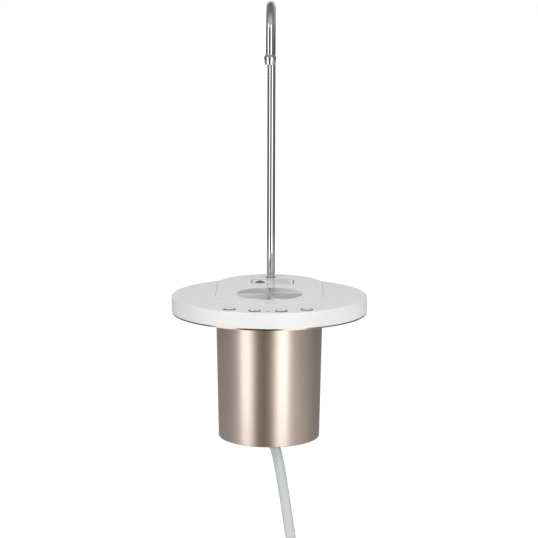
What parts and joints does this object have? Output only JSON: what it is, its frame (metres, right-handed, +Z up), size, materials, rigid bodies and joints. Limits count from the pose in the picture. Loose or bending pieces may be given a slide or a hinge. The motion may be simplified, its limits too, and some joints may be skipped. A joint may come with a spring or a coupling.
{
  "type": "electric water jug pump",
  "caption": "Electric pump that stands on a water jug's neck: a tapered column under a round tray with push buttons, a steel cup plate and a turning steel gooseneck spout.",
  "frame": {"origin": "centre of the neck socket's mouth, at the foot of the column", "axes": "+Z up along the column's axis, -Y towards the buttons, +X to the right as seen from the buttons"},
  "size_m": [0.184, 0.2085, 0.7712],
  "materials": {
    "white_plastic": "satin",
    "champagne_lacquer": "metallic lacquer with a fine grain",
    "polished_steel": "polished",
    "brushed_steel": "turned, with a radial sheen",
    "zinc_screw": "zinc plated",
    "dark_rubber": "matte",
    "clear_silicone": "translucent",
    "grey_plastic": "matte",
    "black_plastic": "matte",
    "board_green": "solder mask",
    "copper": "enamelled wire and bare segments",
    "brass": "sintered",
    "magnet": "sintered",
    "carbon": "pressed carbon",
    "motor_steel": "drawn",
    "cell_sleeve": "shrink sleeve",
    "lead_red": "insulation",
    "lens": "clear"
  },
  "bodies": {
    "body": {"housing_shell": "champagne_lacquer", "socket_collar": "grey_plastic", "socket_sleeve": "dark_rubber", "socket_gasket": "clear_silicone", "chassis": "grey_plastic", "chassis_screws": "zinc_screw", "collar_screws": "zinc_screw", "inlet_spigot": "white_plastic", "inlet_oring": "dark_rubber", "intake_hose": "clear_silicone", "pump_base": "white_plastic", "pump_body": "white_plastic", "pump_pads": "dark_rubber", "pump_screws": "zinc_screw", "idler_pin": "motor_steel", "shaft_seal": "dark_rubber", "motor_can": "motor_steel", "motor_end_cap": "black_plastic", "motor_magnets": "magnet", "motor_brushes": "carbon", "motor_bushes": "brass", "battery_cradle": "black_plastic", "battery_cell": "cell_sleeve", "battery_tabs": "motor_steel", "power_board": "board_green", "motor_leads": "lead_red", "battery_leads": "lead_red", "outlet_hose": "clear_silicone", "tray_base": "champagne_lacquer", "housing_screws": "zinc_screw", "tray_shell": "white_plastic", "tray_screws": "zinc_screw", "deck_lid": "white_plastic", "lid_screws": "zinc_screw", "cup_disc": "brushed_steel", "button_pad": "clear_silicone", "control_board": "board_green", "board_screws": "zinc_screw", "indicator_lens": "lens", "spout_socket": "white_plastic", "spout_socket_screws": "zinc_screw", "spout_orings": "dark_rubber", "spout_grommet": "dark_rubber", "charge_board": "board_green", "charge_socket": "brushed_steel"},
    "spout": {"spout_tube": "polished_steel", "spout_nozzle": "polished_steel"},
    "rotor": {"motor_shaft": "motor_steel", "drive_gear": "grey_plastic", "armature_core": "motor_steel", "armature_windings": "copper", "commutator": "copper"},
    "idler": {"idler_gear": "grey_plastic"},
    "left_outer_button": {"button_left_outer": "white_plastic"},
    "left_inner_button": {"button_left_inner": "white_plastic"},
    "right_inner_button": {"button_right_inner": "white_plastic"},
    "right_outer_button": {"button_right_outer": "white_plastic"}
  },
  "joints": [
    {"name": "spout_swivel", "type": "hinge", "parent": "body", "child": "spout", "pos_m": [0, 0.097, 0.1355], "axis": [0, 0, 1], "continuous": true},
    {"name": "rotor_spin", "type": "hinge", "parent": "body", "child": "rotor", "pos_m": [-0.006, -0.0015, 0.075], "axis": [0, 0, 1], "continuous": true},
    {"name": "idler_spin", "type": "hinge", "parent": "body", "child": "idler", "pos_m": [0.006, -0.0015, 0.066], "axis": [0, 0, 1], "continuous": true},
    {"name": "left_outer_press", "type": "slide", "parent": "body", "child": "left_outer_button", "axis": [0, 0, -1], "range_m": [0, 0.0008], "stiffness_N_per_m": 2000, "deforming": ["button_pad"]},
    {"name": "left_inner_press", "type": "slide", "parent": "body", "child": "left_inner_button", "axis": [0, 0, -1], "range_m": [0, 0.0008], "stiffness_N_per_m": 2000, "deforming": ["button_pad"]},
    {"name": "right_inner_press", "type": "slide", "parent": "body", "child": "right_inner_button", "axis": [0, 0, -1], "range_m": [0, 0.0008], "stiffness_N_per_m": 2000, "deforming": ["button_pad"]},
    {"name": "right_outer_press", "type": "slide", "parent": "body", "child": "right_outer_button", "axis": [0, 0, -1], "range_m": [0, 0.0008], "stiffness_N_per_m": 2000, "deforming": ["button_pad"]}
  ],
  "couplings": [
    {"joint": "idler_spin", "follows": "rotor_spin", "ratio": -1}
  ]
}
